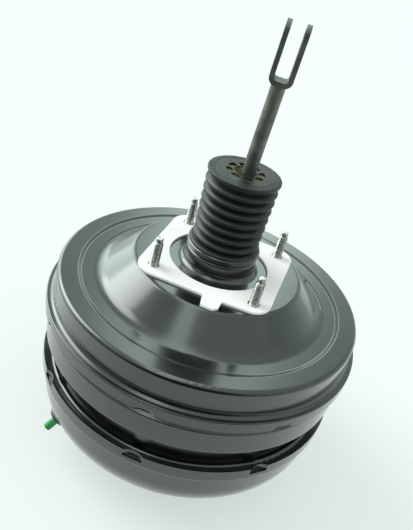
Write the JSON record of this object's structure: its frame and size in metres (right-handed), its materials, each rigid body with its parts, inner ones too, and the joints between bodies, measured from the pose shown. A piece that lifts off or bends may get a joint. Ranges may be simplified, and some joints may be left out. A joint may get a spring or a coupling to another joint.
{
  "type": "brake booster",
  "caption": "Tandem vacuum brake booster with round pressed shells, four firewall studs, rubber boot and a pedal rod that ends in a clevis fork.",
  "frame": {"origin": "centre of the firewall mounting face, on the booster's axis, in the plane of the gasket's outer face", "axes": "+Z along the booster's axis towards the pedal; X and Y along the sides of the square of firewall studs"},
  "size_m": [0.28, 0.28, 0.4066],
  "materials": {
    "black_paint": "satin black paint",
    "bare_steel": "oiled pressed steel",
    "zinc_plate": "zinc plated",
    "phosphated_steel": "grey phosphated",
    "spring_steel": "drawn spring wire",
    "boot_rubber": "matte moulded rubber",
    "seal_rubber": "moulded rubber",
    "gasket_board": "white foamed gasket",
    "phenolic": "moulded phenolic",
    "plunger_steel": "turned steel",
    "white_nylon": "moulded nylon",
    "filter_foam": "open-cell foam",
    "filter_felt": "needled felt",
    "green_plastic": "moulded plastic"
  },
  "bodies": {
    "housing": {"rear_shell": "black_paint", "centre_shell": "black_paint", "partition_plate": "bare_steel", "front_shell": "black_paint", "firewall_gasket": "gasket_board", "firewall_studs": "zinc_plate", "rear_backing_plate": "bare_steel", "front_backing_plate": "bare_steel", "master_cylinder_studs": "zinc_plate", "neck_seal": "seal_rubber", "neck_guide": "white_nylon", "boot_clip_ring": "black_paint", "dust_boot": "boot_rubber", "front_seal": "seal_rubber", "front_seal_retainer": "bare_steel", "port_grommet": "seal_rubber", "partition_seal": "seal_rubber", "partition_seal_retainer": "bare_steel", "rear_diaphragm": "seal_rubber", "front_diaphragm": "seal_rubber", "main_return_spring": "spring_steel"},
    "piston": {"valve_body": "phenolic", "rear_diaphragm_plate": "bare_steel", "front_diaphragm_plate": "bare_steel", "rear_plate_retainer": "bare_steel", "front_plate_retainer": "bare_steel", "reaction_disc": "seal_rubber", "output_rod": "zinc_plate", "output_rod_screw": "zinc_plate", "output_rod_retainer": "bare_steel", "air_filter": "filter_foam", "filter_silencer": "filter_felt", "stop_key": "bare_steel", "poppet_sleeve": "bare_steel", "poppet_spring": "spring_steel", "rod_return_spring": "spring_steel"},
    "poppet": {"poppet_valve": "seal_rubber"},
    "plunger": {"air_valve_plunger": "plunger_steel"},
    "ball_joint": {"ball_bush": "white_nylon"},
    "pedal_rod": {"input_rod": "phosphated_steel", "clevis_fork": "phosphated_steel", "rod_spring_seat": "bare_steel"},
    "transit_plug": {"port_plug": "green_plastic"}
  },
  "joints": [
    {"name": "piston_slide", "type": "slide", "parent": "housing", "child": "piston", "axis": [0, 0, -1], "range_m": [0, 0.032], "stiffness_N_per_m": 3000, "springref_m": -0.04, "deforming": ["dust_boot", "main_return_spring", "rear_diaphragm", "front_diaphragm"]},
    {"name": "plunger_slide", "type": "slide", "parent": "piston", "child": "plunger", "axis": [0, 0, -1], "range_m": [0, 0.003], "stiffness_N_per_m": 5000, "springref_m": -0.004, "deforming": ["rod_return_spring"]},
    {"name": "poppet_slide", "type": "slide", "parent": "piston", "child": "poppet", "axis": [0, 0, -1], "range_m": [0, 0.0005], "deforming": ["poppet_spring"]},
    {"name": "rod_swing_side", "type": "hinge", "parent": "plunger", "child": "ball_joint", "pos_m": [0, 0, 0.0082], "axis": [0, 1, 0], "range_deg": [-3.6, 0]},
    {"name": "rod_swing_up", "type": "hinge", "parent": "ball_joint", "child": "pedal_rod", "pos_m": [0, 0, 0.0082], "axis": [1, 0, 0], "range_deg": [-1.8, 1.8]},
    {"name": "plug_pull", "type": "slide", "parent": "housing", "child": "transit_plug", "axis": [-0.4906, -0.4738, -0.7314], "range_m": [0, 0.02]}
  ],
  "couplings": [
    {"joint": "poppet_slide", "follows": "plunger_slide", "ratio": 0.16667}
  ]
}
